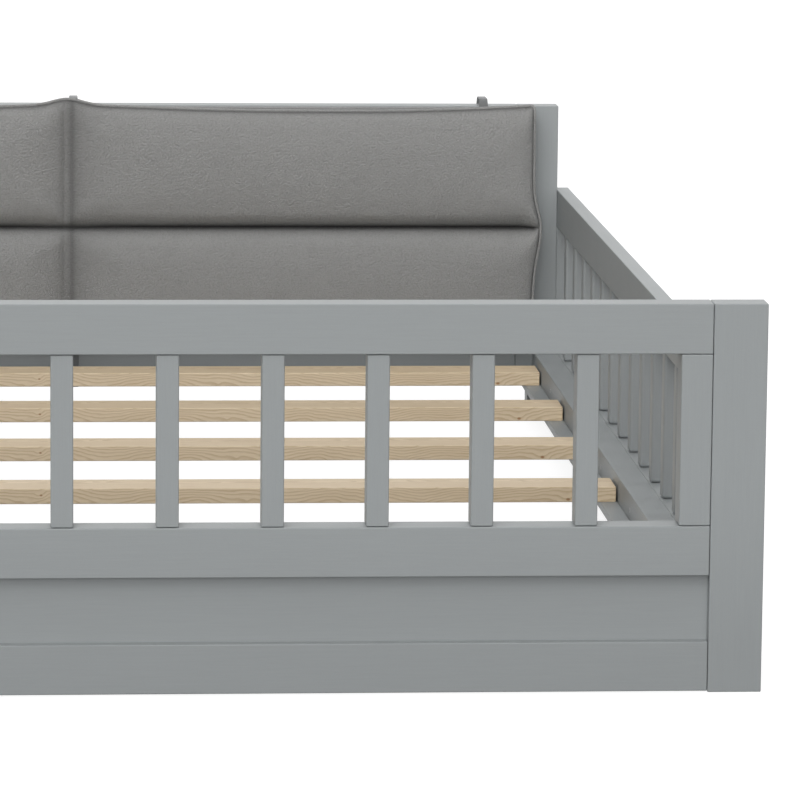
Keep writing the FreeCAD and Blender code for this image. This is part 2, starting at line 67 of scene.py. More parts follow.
class Field:
    """A value that varies over a surface. Arithmetic on it adds Math nodes to its finish."""

    def __init__(self, finish, socket):
        self.finish = finish
        self.socket = socket

    def math(self, operation, *values):
        return self.finish.node("Math", {"operation": operation}, dict(enumerate(values)))

    def __add__(self, other):
        return self.math("ADD", self, other)

    def __sub__(self, other):
        return self.math("SUBTRACT", self, other)

    def __rsub__(self, other):
        return self.math("SUBTRACT", other, self)

    def __mul__(self, other):
        return self.math("MULTIPLY", self, other)

    def __truediv__(self, other):
        return self.math("DIVIDE", self, other)

    def __rtruediv__(self, other):
        return self.math("DIVIDE", other, self)

    def __pow__(self, other):
        return self.math("POWER", self, other)

    def __rpow__(self, other):
        return self.math("POWER", other, self)

    __radd__ = __add__
    __rmul__ = __mul__

    def root(self):
        return self.math("SQRT", self)

    def size(self):
        return self.math("ABSOLUTE", self)

    def sine(self):
        return self.math("SINE", self)

    def fraction(self):
        return self.math("FRACT", self)

    def smaller(self, other):
        return self.math("MINIMUM", self, other)

    def larger(self, other):
        return self.math("MAXIMUM", self, other)

    def step(self, start, end):
        """0 at start, 1 at end and smooth between them."""
        settings = {"interpolation_type": "SMOOTHSTEP"}
        ends = {1: start, 2: end} if start < end else {1: end, 2: start}
        rise = self.finish.node("MapRange", settings, {0: self, **ends})
        return rise if start < end else 1 - rise


class Finish:
    """A material: its Principled shader and the nodes that feed it."""

    def __init__(self, name, **constants):
        self.material = bpy.data.materials.new(name)
        self.material.use_nodes = True
        self.tree = self.material.node_tree
        self.shader = self.tree.nodes["Principled BSDF"]
        self.finish_with(**constants)

    def feed(self, socket, value):
        """Links a field to a socket, or sets a constant on it."""
        if isinstance(value, Field):
            self.tree.links.new(value.socket, socket)
        elif socket.type == "RGBA" and len(value) == 3:
            socket.default_value = (*value, 1)
        else:
            socket.default_value = value

    def node(self, kind, settings, inputs, output=0):
        """Adds a node with its settings and inputs, and gives back one of its outputs."""
        made = self.tree.nodes.new("ShaderNode" + kind)
        for name, setting in settings.items():
            setattr(made, name, setting)
        for socket, value in inputs.items():
            self.feed(made.inputs[socket], value)
        return Field(self, made.outputs[output])

    def place(self, stretch=(1, 1, 1), generated=False):
        """Where a point is, in metres or as a share of its board, times a stretch along each axis."""
        spot = self.node("TexCoord", {}, {}, 0 if generated else 3)
        return self.node("VectorMath", {"operation": "MULTIPLY"}, {0: spot, 1: stretch})

    def parts(self, vector):
        """A vector's X, Y and Z."""
        return [self.node("SeparateXYZ", {}, {0: vector}, axis) for axis in range(3)]

    def noise(self, place, scale, detail=2, roughness=0.5):
        inputs = {"Vector": place, "Scale": scale, "Detail": detail, "Roughness": roughness}
        return self.node("TexNoise", {}, inputs)

    def blend(self, factor, first, second):
        settings = {"data_type": "RGBA"}
        return self.node("Mix", settings, {0: factor, 6: first, 7: second}, 2)

    def bump(self, height, distance, strength=1.0):
        inputs = {"Strength": strength, "Distance": distance, "Height": height}
        self.finish_with(normal=self.node("Bump", {}, inputs))

    def finish_with(self, **fields):
        """Sets the shader's own sockets, each to a constant or to a field."""
        for socket, value in fields.items():
            label = socket.replace("_", " ").title().replace("Ior", "IOR")
            self.feed(self.shader.inputs[label], value)


def shade(colour, factor):
    """A colour made darker or lighter by a factor."""
    return tuple(channel * factor for channel in colour)


PAINT = (0.305, 0.325, 0.330)
PINE_PALE = (0.735, 0.600, 0.425)
PINE_DARK = (0.500, 0.365, 0.215)
KNOT = (0.290, 0.130, 0.045)
LEATHER = (0.292, 0.292, 0.286)
WEBBING = (0.190, 0.196, 0.198)
THREAD = (0.170, 0.170, 0.165)
BEECH_PALE = (0.660, 0.490, 0.330)
BEECH_DARK = (0.460, 0.300, 0.170)
ZINC = (0.550, 0.560, 0.570)
STEEL = (0.600, 0.600, 0.610)

# Painted shade near the floor: from a height down to the floor, the paint goes up to a share of the way to
# near black; the share and the height follow.
PAINTED_FLOOR_SHADE = 0.15
PAINTED_SHADE_BELOW = 0.26

# A slat's rings lie round a pith that runs along it, at PITH_Y and PITH_Z from the slat's low corner.
# KNOTS are the knots' places along and up the slat's edge, and their radii.
PITH_Y = 0.045
PITH_Z = -0.012
RING_WIDTH = 0.0017
KNOTS = ((1.330, 0.0036, 0.0019), (0.675, 0.0110, 0.0013), (0.250, 0.0075, 0.0016))
KNOT_STRETCH = 1.5

PEBBLES_PER_METRE = 365
CREASES_PER_METRE = 280


def painted(axis):
    """Satin grey paint, with painted shade that darkens it towards the floor, on a board whose fine grain
    runs along one axis.
    """
    paint = Finish("grey_paint_grain_" + "xyz"[axis], specular_ior_level=0.5)
    along = [1.0] * 3
    along[axis] = 0.035
    fibres = paint.noise(paint.place(along), 620, 4, 0.62)
    flecks = paint.noise(paint.place([0.5 + 0.5 * share for share in along]), 1500, 2)
    clouds = paint.noise(paint.place(), 7, 3)
    tone = (fibres - 0.5) * 0.9 + (flecks - 0.5) * 0.5 + (clouds - 0.5) * 0.35 + 0.5
    # Painted shade: below a height the paint is blended towards near black, most at the floor.
    low = paint.parts(paint.place())[2].step(PAINTED_SHADE_BELOW, 0.0)
    face = paint.blend(tone, shade(PAINT, 0.94), shade(PAINT, 1.06))
    paint.finish_with(base_color=paint.blend(low * PAINTED_FLOOR_SHADE, face, shade(PAINT, 0.05)),
                      roughness=(clouds - 0.5) * 0.12 + (fibres - 0.5) * 0.16 + 0.46)
    paint.bump(fibres * 0.7 + flecks * 0.3, 0.00012, 0.8)
    return paint.material


def planed_pine(slat_size):
    """Pale planed pine, cut so that its rings make long flames on the edge and lines on top."""
    pine = Finish("pine", specular_ior_level=0.35)
    spot = pine.place(slat_size, generated=True)
    x, y, z = pine.parts(spot)

    def stretched(along, across):
        return pine.node("VectorMath", {"operation": "MULTIPLY"}, {0: spot, 1: (along, across, across)})

    wander = pine.noise(stretched(7.5, 9), 1, 1) - 0.5
    wobble = pine.noise(stretched(34, 60), 1, 2) - 0.5
    rings = ((y - PITH_Y) ** 2 + (z - PITH_Z) ** 2).root() + wander * 0.022 + wobble * 0.0030
    knots = None
    for knot_x, knot_z, radius in KNOTS:
        off = (((x - knot_x) / KNOT_STRETCH) ** 2 + (z - knot_z) ** 2).root() + y * 0.02
        swell = off.step(radius * 6, radius)
        rings = rings + swell * 0.0014
        core = off.step(radius * 1.25, radius * 0.45)
        knots = core if knots is None else knots.larger(core)
    layer = (rings / RING_WIDTH).fraction()
    late = layer.step(0.35, 0.86) * layer.step(1.0, 0.90)
    fibres = pine.noise(stretched(16, 520), 1, 4, 0.6)
    pores = pine.noise(stretched(120, 1500), 1, 2).step(0.60, 0.72)
    patches = pine.noise(stretched(7, 20), 1, 2)
    depth = late * 0.55 + (fibres - 0.5) * 0.85 + pores * 0.22 + (patches - 0.5) * 0.45 + 0.16
    wood = pine.blend(depth.larger(0).smaller(1), PINE_PALE, PINE_DARK)
    pine.finish_with(base_color=pine.blend(knots * 0.85, wood, KNOT),
                     roughness=late * -0.08 + (fibres - 0.5) * 0.15 + 0.60)
    pine.bump(fibres * 0.6 - late * 0.3 - pores * 0.4, 0.00018, 0.8)
    return pine.material


def pebbled_leather():
    """Grey leather-look cover with a fine pebble grain, a few soft creases and painted shade in its crease,
    seam and edges.
    """
    leather = Finish("cushion_leather", specular_ior_level=0.45, sheen_weight=0.08, sheen_roughness=0.5)
    spot = leather.place((1, 0.9, 1.15))
    drift = leather.noise(leather.place((1, 1, 1.6)), 210, 2)
    pebbles = leather.node("TexVoronoi", {"feature": "SMOOTH_F1"},
                           {"Vector": spot, "Scale": PEBBLES_PER_METRE, "Smoothness": 0.35})
    lines = leather.node("TexVoronoi", {"feature": "DISTANCE_TO_EDGE"},
                         {"Vector": spot, "Scale": CREASES_PER_METRE})
    fine = leather.noise(spot, 900, 3)
    broad = leather.noise(leather.place(), 26, 4, 0.6)
    valley = lines.step(0.10, 0.0) * 0.6
    height = 1 - pebbles * 0.9 - valley + fine * 0.30 + (drift - 0.5) * 0.30
    tone = (height - 0.6) * 0.8 + (broad - 0.5) * 0.25 + 0.5
    # Painted shade: a value stored on the cover's points blends it towards near black and makes it rougher
    # there.
    painted_shade = leather.node("Attribute", {"attribute_name": "painted_shade"}, {}, 2)
    face = leather.blend(tone, shade(LEATHER, 0.88), shade(LEATHER, 1.10))
    leather.finish_with(base_color=leather.blend(painted_shade, face, shade(LEATHER, 0.06)),
                        roughness=(broad - 0.5) * 0.12 + valley * 0.12 + painted_shade * 0.3 + 0.50)
    leather.bump(height, 0.00105, 0.95)
    return leather.material


def woven(name, colour, across=1400, along=900):
    """Woven webbing or thread: ribs crossed by rows of floats, each about a millimetre or finer."""
    cloth = Finish(name, specular_ior_level=0.25, sheen_weight=0.25, sheen_roughness=0.6)
    x, y, z = cloth.parts(cloth.place())
    ribs = (x * across * math.pi).sine().size()
    floats = ((z + y) * along * math.pi).sine().size()
    fuzz = cloth.noise(cloth.place(), 2600, 2)
    height = ribs * 0.5 + floats * 0.4 + fuzz * 0.3
    cloth.finish_with(base_color=cloth.blend(height * 0.8, shade(colour, 0.78), shade(colour, 1.15)),
                      roughness=0.82 - height * 0.12)
    cloth.bump(height, 0.0003, 0.9)
    return cloth.material


def raw_beech():
    """Fine straight-grained dowel wood with short darker rays."""
    beech = Finish("beech", specular_ior_level=0.3)
    fibres = beech.noise(beech.place((0.2, 0.2, 0.2)), 3000, 4)
    rays = beech.noise(beech.place((1, 0.25, 0.25)), 900, 2).step(0.58, 0.70)
    tone = (fibres * 0.8 + rays * 0.35).smaller(1)
    beech.finish_with(base_color=beech.blend(tone, BEECH_PALE, BEECH_DARK),
                      roughness=0.7 - fibres * 0.15)
    beech.bump(fibres, 0.0001, 0.6)
    return beech.material


def metal(name, colour, roughness, grain):
    """Plated or cast metal with a faint grain in its gloss."""
    plate = Finish(name, metallic=1.0)
    pits = plate.noise(plate.place(), grain, 4, 0.6)
    tarnish = plate.noise(plate.place(), 60, 3)
    plate.finish_with(base_color=plate.blend(tarnish, shade(colour, 0.82), shade(colour, 1.1)),
                      roughness=(pits - 0.5) * 0.25 + roughness)
    plate.bump(pits, 0.00008, 0.5)
    return plate.material


# The studio: the camera, a pale floor, a white backdrop and soft light

CAMERA_YAW, CAMERA_PITCH, CAMERA_ROLL = 4.318, 9.024, 0.555
CAMERA_LENS = 223.58
CAMERA_SENSOR = 36
# The camera's place: across the bed, out in front of its foot end, and above the floor.
CAMERA_ACROSS, CAMERA_OUT, CAMERA_HEIGHT = -0.034, 5.187, 1.145
FLOOR_RADIUS = 60
BACKDROP_RADIUS = 70
FLOOR_GLOW = 0.88
BACKDROP_GLOW = 1.05
AIR_GLOW = 0.02
WHITE = (1, 1, 1, 1)
BLACK = (0, 0, 0, 1)
# Each light's name, azimuth (0 is the foot end, 90 the right), elevation, strength and softness.
LIGHTS = (
    ("front_left_light", -19, 25, 1.25, 50),
    ("upper_left_light", -22, 60, 1.50, 50),
    ("low_front_light", 0, 8, 0.80, 25),
    ("right_side_light", 115, 25, 0.8, 40),
    ("behind_light", 180, 20, 1.8, 50),
)


def new_object(name, data):
    made = bpy.data.objects.new(name, data)
    bpy.context.scene.collection.objects.link(made)
    return made


def look_camera():
    """A long lens from in front of the foot end, a little above the bed."""
    yaw, pitch, roll = (math.radians(angle) for angle in (CAMERA_YAW, CAMERA_PITCH, CAMERA_ROLL))
    forward = Vector((math.sin(yaw) * math.cos(pitch), math.cos(yaw) * math.cos(pitch), -math.sin(pitch)))
    right = Vector((math.cos(yaw), -math.sin(yaw), 0))
    up = right.cross(forward)
    turned_right = right * math.cos(roll) + up * math.sin(roll)
    turned_up = up * math.cos(roll) - right * math.sin(roll)
    data = bpy.data.cameras.new("camera")
    data.lens = CAMERA_LENS
    data.sensor_width = CAMERA_SENSOR
    data.clip_end = 200
    camera = new_object("camera", data)
    turn = Matrix((turned_right, turned_up, -forward)).transposed().to_4x4()
    place = Matrix.Translation((CAMERA_ACROSS, cad_low.y - CAMERA_OUT, CAMERA_HEIGHT))
    camera.matrix_world = place @ turn
    bpy.context.scene.camera = camera


def solid_from(shape, name, material):
    """A new object from a bmesh, in one material."""
    mesh = bpy.data.meshes.new(name)
    shape.to_mesh(mesh)
    shape.free()
    mesh.materials.append(material)
    return new_object(name, mesh)


def pale_floor():
    """The floor glows so that it stays pale where the bed shades it."""
    finish = Finish("pale_floor", roughness=0.9, specular_ior_level=0.1,
                    emission_color=WHITE, emission_strength=FLOOR_GLOW)
    mottle = finish.noise(finish.place(), 3, 3)
    finish.finish_with(base_color=finish.blend(mottle, (0.18,) * 3, (0.20,) * 3))
    shape = bmesh.new()
    bmesh.ops.create_circle(shape, cap_ends=True, segments=96, radius=FLOOR_RADIUS)
    floor = solid_from(shape, "floor", finish.material)
    floor.visible_diffuse = False
    return floor


def white_backdrop():
    """A glowing sphere round everything, which throws no light or shadow on the bed."""
    glow = Finish("white_backdrop", base_color=BLACK, specular_ior_level=0.0,
                  emission_color=WHITE, emission_strength=BACKDROP_GLOW)
    shape = bmesh.new()
    bmesh.ops.create_uvsphere(shape, u_segments=64, v_segments=32, radius=BACKDROP_RADIUS)
    bmesh.ops.reverse_faces(shape, faces=shape.faces)
    backdrop = solid_from(shape, "backdrop", glow.material)
    backdrop.visible_diffuse = False
    backdrop.visible_shadow = False
    return backdrop


def soft_suns():
    for name, azimuth, elevation, strength, softness in LIGHTS:
        data = bpy.data.lights.new(name, "SUN")
        data.energy = strength
        data.angle = math.radians(softness)
        light = new_object(name, data)
        turn, rise = math.radians(azimuth), math.radians(elevation)
        toward = Vector((math.sin(turn) * math.cos(rise), -math.cos(turn) * math.cos(rise), math.sin(rise)))
        light.rotation_mode = "QUATERNION"
        light.rotation_quaternion = toward.to_track_quat("Z", "Y")


def studio_air():
    world = bpy.data.worlds.new("studio_air")
    world.use_nodes = True
    background = world.node_tree.nodes["Background"]
    background.inputs["Color"].default_value = WHITE
    background.inputs["Strength"].default_value = AIR_GLOW
    bpy.context.scene.world = world
    bpy.context.scene.view_settings.view_transform = "Standard"


look_camera()
pale_floor()
white_backdrop()
soft_suns()
studio_air()


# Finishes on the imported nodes

slat_low, slat_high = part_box("slat_1")
paint_along = [painted(axis) for axis in range(3)]
pine = planed_pine(tuple(slat_high - slat_low))
leather = pebbled_leather()
webbing = woven("webbing", WEBBING)
thread = woven("grey_thread", THREAD, 2600, 2600)
beech = raw_beech()
zinc = metal("zinc", ZINC, 0.42, 1800)
steel = metal("steel", STEEL, 0.28, 2600)

FASTENERS = {"wood_pegs": beech, "cam_locks": zinc, "cam_bolts": steel, "fence_bolts": steel,
             "fence_screws": steel, "ledge_screws": steel}


def long_axis(node):
    """The axis along which a node is longest: 0, 1 or 2."""
    low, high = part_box(node)
    size = high - low
    return max(range(3), key=lambda axis: size[axis])


def dress(node, material):
    """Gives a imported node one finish."""
    mesh = nodes[node].data
    mesh.materials.clear()
    mesh.materials.append(material)


for name in nodes:
    if name in FASTENERS:
        dress(name, FASTENERS[name])
    elif name.startswith("slat_") and "ledge" not in name:
        dress(name, pine)
    elif name.startswith("fence_balusters"):
        dress(name, paint_along[2])
    elif not name.startswith(("headboard_cushion", "cushion_strap")):
        dress(name, paint_along[long_axis(name)])


# The quilted cushion

cushion_low, cushion_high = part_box("headboard_cushion")
CUSHION_MIDDLE = (cushion_low.x + cushion_high.x) / 2
HALF_WIDTH = (cushion_high.x - cushion_low.x) / 2
CREASE_LEVEL = cushion_low.z + (cushion_high.z - cushion_low.z) / 2 - 0.0055
FRONT = cushion_low.y + 0.0035
BACK = cushion_high.y - 0.001
TOP_DROP = 0.0095
BOTTOM_RISE = 0.0045
# The top edge's humps over the seam, each a height and a reach, and its rise towards the corners.
TOP_HUMPS = ((0.0075, 0.17), (0.0090, 0.028))
CORNER_RISE = 0.0085
CORNER_FROM = 0.40
CORNER_RUN = 0.27
# How much the sides stand out at the crease, and how far above and below it.
SIDE_BULGE = 0.011
SIDE_BULGE_ABOVE = 0.034
SIDE_BULGE_BELOW = 0.052

# How far behind the front plane the cover lies at its piping, top edge, crease and seam, and how far
# from each the puff takes to round out.
PIPING_DEPTH, SIDE_REACH = 0.013, 0.026
TOP_DEPTH, EDGE_REACH = 0.018, 0.050
CREASE_DEPTH, CREASE_REACH = 0.037, 0.040
SEAM_DEPTH, SEAM_REACH = 0.0120, 0.052
SEAM_HALF_WIDTH = 0.003
RIDGE_HEIGHT = 0.0030
CREASE_END = 0.030

# How much of its colour the cover loses to painted shade in its crease, at its edges, over its lower puff
# and on its gusset, and the least it keeps.
CREASE_SHADE = 0.66
CREASE_HALO_SHADE = 0.30
EDGE_SHADE = 0.62
LOWER_PUFF_SHADE = 0.09
GUSSET_SHADE = 0.74
DEEPEST_SHADE_LEAVES = 0.04

# The cover's grid: its step, its step near an edge and how near that is, in half widths and heights.
GRID_ACROSS = (0.0075, 0.0021, 0.05)
GRID_UP = (0.030, 0.010, 0.3)

PIPING_RADIUS = 0.0023
PIPING_STEP = 0.004
FRONT_PIPING_FORWARD = 0.0008
FRONT_PIPING_ASIDE = 0.0008
FRONT_PIPING_OUT = 0.0006
BACK_PIPING_FORWARD = 0.0016
GUSSET_BULGE = 0.0022
GUSSET_STEPS = 7
BACK_PANEL_SHARE = 0.997
BACK_PANEL_DROP = 0.008
CORNER_REACH = 0.03

FILLING_FRAMES = 20
FILLING_LIMIT = 0.0045
COVER_MASS = 0.3
COVER_STIFFNESS = 12
COVER_BENDING = 1.5
FILLING_PRESSURE = 4

SEAM_STITCH_PITCH = 0.0046
SEAM_STITCH_LENGTH = 0.0032
SEAM_STITCH_RADIUS = 0.00045
SEAM_ROW_OFFSET = 0.0026


def bell(distance, width):
    """1 at no distance, falling to a third or so at the width and to nothing far off."""
    return np.exp(-((distance / width) ** 2))


def smooth(value, start, end):
    """0 up to start, 1 from end on and smooth between them."""
    share = np.clip((value - start) / (end - start), 0, 1)
    return share * share * (3 - 2 * share)


def side_of(z):
    """The cushion's half width at a height: it is widest at the crease."""
    rise = z - CREASE_LEVEL
    width = np.where(rise > 0, SIDE_BULGE_ABOVE, SIDE_BULGE_BELOW)
    return HALF_WIDTH - SIDE_BULGE + SIDE_BULGE * bell(rise, width)


def top_of(distance):
    """The top edge's height at a distance from the seam: highest there, and rising towards the corners."""
    peak = sum(height * bell(distance, reach) for height, reach in TOP_HUMPS)
    corner = CORNER_RISE * np.clip((distance - CORNER_FROM) / CORNER_RUN, 0, None) ** 2
    return cushion_high.z - TOP_DROP + peak + corner


def bottom_of(distance):
    """The bottom edge's height, the top edge upside down."""
    return cushion_low.z + BOTTOM_RISE - (top_of(distance) - cushion_high.z + TOP_DROP)


def rounding(distance, reach):
    """How far a puff has risen at a distance from its edge, from 0 at the edge to 1 at reach."""
    share = 1 - np.clip(distance / reach, 0, 1)
    return np.sqrt(np.clip(1 - share * share, 0, 1))


def front_depth(x, z):
    """How far behind the front plane the cover lies at a point."""
    off_seam = np.abs(x - CUSHION_MIDDLE)
    to_side = side_of(z) - off_seam
    to_top = top_of(off_seam) - z
    to_bottom = z - bottom_of(off_seam)
    to_crease = np.abs(z - CREASE_LEVEL)
    inside = smooth(to_side, 0.0, CREASE_END)
    crease = CREASE_DEPTH * inside * (0.70 + 0.30 * smooth(off_seam, 0.0, 0.07))
    crease = crease + PIPING_DEPTH * (1 - inside)
    depths = [crease * (1 - rounding(to_crease, CREASE_REACH)),
              SEAM_DEPTH * (1 - rounding(np.maximum(off_seam - SEAM_HALF_WIDTH, 0), SEAM_REACH)),
              PIPING_DEPTH * (1 - rounding(to_side, SIDE_REACH)),
              TOP_DEPTH * (1 - rounding(to_top, EDGE_REACH)),
              PIPING_DEPTH * (1 - rounding(to_bottom, EDGE_REACH))]
    total = sum(depth ** 3 for depth in depths) ** (1 / 3)
    ridge = RIDGE_HEIGHT * (1 - smooth(off_seam, 0.0022, 0.0050)) * smooth(to_top, 0.004, 0.012)
    return total - ridge * smooth(to_crease, 0.001, 0.007)


def painted_shade_at(x, z):
    """How much painted shade darkens the front panel at a point, from 0 to 1: in its crease, seam and edges,
    more right of the seam, and a little over the lower puff.
    """
    off_seam = np.abs(x - CUSHION_MIDDLE)
    to_side = side_of(z) - off_seam
    to_edge = np.minimum.reduce([to_side, top_of(off_seam) - z, z - bottom_of(off_seam)])
    rise = z - CREASE_LEVEL
    reach = np.where(rise > 0, 0.005, 0.011)
    # Painted shade in the crease, in the seam's valley and the bands beside it (deeper on the seam's right),
    # at the edges and over the lower puff.
    inward = smooth(to_side, 0.002, 0.010) * (0.92 + 0.08 * smooth(off_seam, 0.004, 0.012))
    crease = inward * (CREASE_SHADE * bell(rise, 0.0034) + CREASE_HALO_SHADE * np.exp(-np.abs(rise) / reach))
    right = smooth(x - CUSHION_MIDDLE, -0.004, 0.004)
    valley = (0.14 + 0.12 * right) * bell(off_seam, 0.018) + (0.08 + 0.10 * right) * bell(off_seam, 0.052)
    bands = (0.06 + 0.12 * right) * bell(off_seam - 0.0068, 0.0034)
    edge = EDGE_SHADE * np.exp(-np.clip(to_edge - 0.0015, 0, None) / 0.0022)
    lower_puff = LOWER_PUFF_SHADE * smooth(-rise, 0.0, 0.06)
    lit = (1 - crease) * (1 - valley - bands) * (1 - edge) * (1 - lower_puff)
    return 1 - np.clip(lit, DEEPEST_SHADE_LEAVES, 1)


def spread(edges, step, tight, reach):
    """Stations along a line that lie closer together near each edge."""
    stations = [edges[0]]
    for start, end in zip(edges, edges[1:]):
        fine = np.linspace(start, end, 4000)
        near = np.minimum(fine - start, end - fine)
        density = 1 / (tight + (step - tight) * np.clip(near / reach, 0, 1))
        total = np.concatenate([[0], np.cumsum((density[1:] + density[:-1]) / 2 * (fine[1] - fine[0]))])
        count = int(round(total[-1]))
        stations += list(np.interp(np.linspace(0, total[-1], count + 1)[1:], total, fine))
    return np.array(stations)


def front_points():
    """The front panel's points, as rows and columns of X, Y and Z."""
    across = spread([-1, 0, 1], *GRID_ACROSS)
    upward = spread([-1, 0, 1], *GRID_UP)
    share_across, share_up = np.meshgrid(across, upward)
    x = CUSHION_MIDDLE + share_across * HALF_WIDTH
    # The edges' heights depend on x and the width on z, so a few rounds settle both.
    for _ in range(3):
        off_seam = np.abs(x - CUSHION_MIDDLE)
        level = CREASE_LEVEL + 0.0012 * bell(off_seam, 0.06)
        z = np.where(share_up > 0, level + share_up * (top_of(off_seam) - level),
                     level + share_up * (level - bottom_of(off_seam)))
        x = CUSHION_MIDDLE + share_across * side_of(z)
    return np.stack([x, FRONT + front_depth(x, z), z], -1)


def back_points(front):
    """The back panel's points: flat, a little narrower than the front and straight along the top."""
    x, z = front[..., 0], front[..., 2]
    flat_top = cushion_high.z - BACK_PANEL_DROP
    back = np.stack([x, np.full_like(x, BACK), z], -1)
    back[..., 0] = CUSHION_MIDDLE + (x - CUSHION_MIDDLE) * BACK_PANEL_SHARE
    back[..., 2] = np.where(z > CREASE_LEVEL, CREASE_LEVEL + (z - CREASE_LEVEL) * (flat_top - CREASE_LEVEL) /
                            (top_of(np.abs(x - CUSHION_MIDDLE)) - CREASE_LEVEL), z)
    return back


def gusset_outward(spot):
    """The direction in which the gusset bulges at a point."""
    outward = np.zeros(3)
    if abs(spot[0] - CUSHION_MIDDLE) > HALF_WIDTH - CORNER_REACH:
        outward[0] = math.copysign(1, spot[0] - CUSHION_MIDDLE)
    if spot[2] > cushion_high.z - CORNER_REACH or spot[2] < cushion_low.z + CORNER_REACH:
        outward[2] = math.copysign(1, spot[2] - CREASE_LEVEL)
    return outward / (np.linalg.norm(outward) or 1)


def cushion_shell():
    """The cover before it is filled: a front panel, a gusset and a back panel."""
    front = front_points()
    rows, columns = front.shape[:2]
    panel = rows * columns
    points = [*front.reshape(-1, 3), *back_points(front).reshape(-1, 3)]
    index = np.arange(panel).reshape(rows, columns)
    faces = []
    for row in range(rows - 1):
        for column in range(columns - 1):
            square = (index[row, column], index[row, column + 1],
                      index[row + 1, column + 1], index[row + 1, column])
            faces.append(square)
            faces.append(tuple(panel + corner for corner in square[::-1]))
    edge = [int(corner) for corner in (*index[0, :-1], *index[:-1, -1], *index[-1, :0:-1], *index[:0:-1, 0])]
    rings = [edge]
    for step in range(1, GUSSET_STEPS):
        share = step / GUSSET_STEPS
        ring = []
        for corner in edge:
            start, stop = points[corner], points[corner + panel]
            spot = start + (stop - start) * share
            ring.append(len(points))
            points.append(spot + gusset_outward(spot) * GUSSET_BULGE * math.sin(math.pi * share))
        rings.append(ring)
    rings.append([corner + panel for corner in edge])
    for ring, following in zip(rings, rings[1:]):
        for place in range(len(ring)):
            after = (place + 1) % len(ring)
            faces.append((ring[place], following[place], following[after], ring[after]))
    mesh = bpy.data.meshes.new("cushion_cover")
    mesh.from_pydata([tuple(point) for point in points], [], [tuple(int(i) for i in face) for face in faces])
    mesh.update()
    points = np.array(points)
    # Painted shade stored per point: on the front panel from its crease, seam and edges, and on the gusset,
    # darkest just behind the front piping.
    painted_shades = np.zeros(len(points))
    painted_shades[:panel] = painted_shade_at(front[..., 0], front[..., 2]).ravel()
    behind_piping = points[2 * panel:, 1] - PIPING_DEPTH - FRONT
    painted_shades[2 * panel:] = GUSSET_SHADE * (1 - smooth(behind_piping, 0.014, 0.034))
    mesh.attributes.new("painted_shade", "FLOAT", "POINT").data.foreach_set("value", painted_shades.astype(np.float32))
    back_edge = [corner + panel for corner in edge]
    return new_object("cushion_cover", mesh), panel, points[edge], points[back_edge]


def fill_out(cover, front_count):
    """Fills the cover by cloth simulation, with its seams, gusset and back held still."""
    mesh = cover.data
    rest = np.array([vertex.co for vertex in mesh.vertices])
    x, z = rest[:front_count, 0], rest[:front_count, 2]
    off_seam = np.abs(x - CUSHION_MIDDLE)
    near = np.minimum.reduce([off_seam, side_of(z) - off_seam, top_of(off_seam) - z,
                              z - bottom_of(off_seam), np.abs(z - CREASE_LEVEL)])
    held = np.ones(len(rest))
    held[:front_count] = 1 - smooth(near, 0.006, 0.030)
    group = cover.vertex_groups.new(name="held")
    for index, weight in enumerate(held):
        group.add([index], float(weight), "REPLACE")
    cloth = cover.modifiers.new("filling", "CLOTH")
    cloth.settings.quality = 5
    cloth.settings.mass = COVER_MASS
    cloth.settings.tension_stiffness = COVER_STIFFNESS
    cloth.settings.compression_stiffness = COVER_STIFFNESS
    cloth.settings.bending_stiffness = COVER_BENDING
    cloth.settings.use_pressure = True
    cloth.settings.uniform_pressure_force = FILLING_PRESSURE
    cloth.settings.vertex_group_mass = "held"
    cloth.settings.effector_weights.gravity = 0
    cloth.collision_settings.use_collision = False
    cloth.collision_settings.use_self_collision = False
    scene = bpy.context.scene
    cloth.point_cache.frame_start, cloth.point_cache.frame_end = 1, FILLING_FRAMES
    for number in range(1, FILLING_FRAMES + 1):
        scene.frame_set(number)
    graph = bpy.context.evaluated_depsgraph_get()
    filled = np.array([vertex.co for vertex in cover.evaluated_get(graph).data.vertices])
    cover.modifiers.remove(cloth)
    scene.frame_set(1)
    move = filled - rest
    length = np.linalg.norm(move, axis=1)
    print("cushion filled by up to", round(float(length.max()) * 1000, 2), "mm, mean",
          round(float(length[:front_count].mean()) * 1000, 2))
    move *= (FILLING_LIMIT * np.tanh(length / FILLING_LIMIT) / np.maximum(length, 1e-9))[:, None]
    mesh.vertices.foreach_set("co", (rest + move).astype(np.float32).ravel())
    mesh.update()


def soften(piece, material, levels=1):
    """Gives a piece its finish, smooth shading and, if asked, subdivision."""
    piece.data.materials.append(material)
    piece.data.shade_smooth()
    if levels:
        smoother = piece.modifiers.new("smooth", "SUBSURF")
        smoother.levels = smoother.render_levels = levels


def tube(name, path, radius, material, sides=10):
    """A closed round piping along a path."""
    count = len(path)
    along = np.roll(path, -1, 0) - np.roll(path, 1, 0)
    along /= np.linalg.norm(along, axis=1)[:, None]
    depth = np.array([0.0, 1.0, 0.0])
    outward = np.cross(along, depth)
    outward /= np.linalg.norm(outward, axis=1)[:, None]
    depth = np.cross(outward, along)
    points = []
    for side in range(sides):
        angle = 2 * math.pi * side / sides
        points.append(path + radius * (math.cos(angle) * outward + math.sin(angle) * depth))
    points = np.stack(points, 1).reshape(-1, 3)
    faces = []
    for place in range(count):
        after = (place + 1) % count
        for side in range(sides):
            turn = (side + 1) % sides
            faces.append((place * sides + side, after * sides + side,
                          after * sides + turn, place * sides + turn))
    mesh = bpy.data.meshes.new(name)
    mesh.from_pydata([tuple(point) for point in points], [], faces)
    mesh.update()
    piece = new_object(name, mesh)
    soften(piece, material, 0)
    return piece


